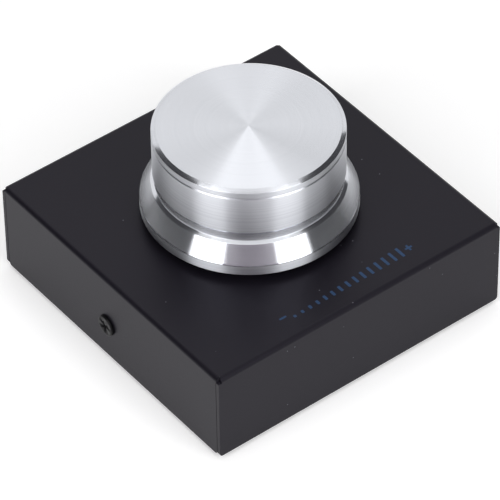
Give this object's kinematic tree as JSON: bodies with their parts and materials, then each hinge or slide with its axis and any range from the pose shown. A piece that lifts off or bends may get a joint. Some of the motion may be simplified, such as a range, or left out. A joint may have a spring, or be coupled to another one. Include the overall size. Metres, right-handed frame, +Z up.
{
  "type": "usb volume control knob",
  "caption": "Desktop USB volume control: a folded black steel box with a large turned aluminium knob that turns without end and presses to switch.",
  "frame": {"origin": "on the surface it stands on, below the knob's axis, which is the middle of the box", "axes": "+Z up along the knob's axis, -Y the front with the printed scale, +Y the rear with the USB socket, +X to the right"},
  "size_m": [0.0864, 0.085, 0.052],
  "materials": {
    "cover_paint": "fine-texture black powder coat",
    "plate_paint": "black powder coat",
    "foot_rubber": "matt moulded rubber",
    "screw_steel": "black zinc plate",
    "board_laminate": "green solder mask",
    "small_screw_steel": "zinc plate",
    "spacer_brass": "machined brass",
    "socket_steel": "nickel-plated stamping",
    "tongue_plastic": "moulded",
    "contact_gilt": "gold flash",
    "chip_resin": "moulded epoxy",
    "tinned_leads": "tin plate",
    "crystal_can": "drawn can",
    "resistor_ceramic": "chip component",
    "capacitor_can": "drawn can",
    "bushing_zinc": "die-cast zinc, nickel plated",
    "clip_steel": "tinned stamping",
    "encoder_plastic": "moulded",
    "switch_laminate": "moulded",
    "spring_steel": "spring temper",
    "dome_steel": "snap dome",
    "washer_steel": "zinc plate",
    "nut_plating": "nickel-plated brass",
    "rotor_plastic": "moulded acetal",
    "plunger_plastic": "moulded acetal",
    "shaft_metal": "turned",
    "knob_aluminium": "fine-turned, clear anodised",
    "grub_steel": "black oxide"
  },
  "bodies": {
    "housing": {"top_cover": "cover_paint", "base_plate": "plate_paint", "foot_front_left": "foot_rubber", "foot_front_right": "foot_rubber", "foot_rear_left": "foot_rubber", "foot_rear_right": "foot_rubber", "cover_screw_left": "screw_steel", "cover_screw_right": "screw_steel", "circuit_board": "board_laminate", "spacer_front_left": "spacer_brass", "spacer_front_right": "spacer_brass", "spacer_rear_left": "spacer_brass", "spacer_rear_right": "spacer_brass", "board_screws": "small_screw_steel", "usb_socket_shell": "socket_steel", "usb_socket_tongue": "tongue_plastic", "usb_socket_contacts": "contact_gilt", "microcontroller": "chip_resin", "microcontroller_leads": "tinned_leads", "crystal": "crystal_can", "resistors": "resistor_ceramic", "smoothing_capacitor": "capacitor_can", "encoder_bushing": "bushing_zinc", "encoder_clip": "clip_steel", "encoder_housing": "encoder_plastic", "switch_plate": "switch_laminate", "detent_spring": "spring_steel", "encoder_pins": "tinned_leads", "switch_pins": "tinned_leads", "switch_dome": "dome_steel", "bushing_washer": "washer_steel", "bushing_nut": "nut_plating"},
    "rotor": {"encoder_rotor": "rotor_plastic"},
    "turning_knob": {"knob": "knob_aluminium", "knob_grub_screw": "grub_steel", "encoder_shaft": "shaft_metal"},
    "plunger": {"switch_plunger": "plunger_plastic"}
  },
  "joints": [
    {"name": "knob_turn", "type": "hinge", "parent": "housing", "child": "rotor", "pos_m": [0, 0, 0.02233], "axis": [0, 0, 1], "continuous": true},
    {"name": "knob_press", "type": "slide", "parent": "rotor", "child": "turning_knob", "axis": [0, 0, -1], "range_m": [0, 0.0005], "stiffness_N_per_m": 2000, "springref_m": -0.002},
    {"name": "plunger_travel", "type": "slide", "parent": "housing", "child": "plunger", "axis": [0, 0, -1], "range_m": [0, 0.0005], "deforming": ["switch_dome"]}
  ],
  "couplings": [
    {"joint": "plunger_travel", "follows": "knob_press", "ratio": 1}
  ]
}
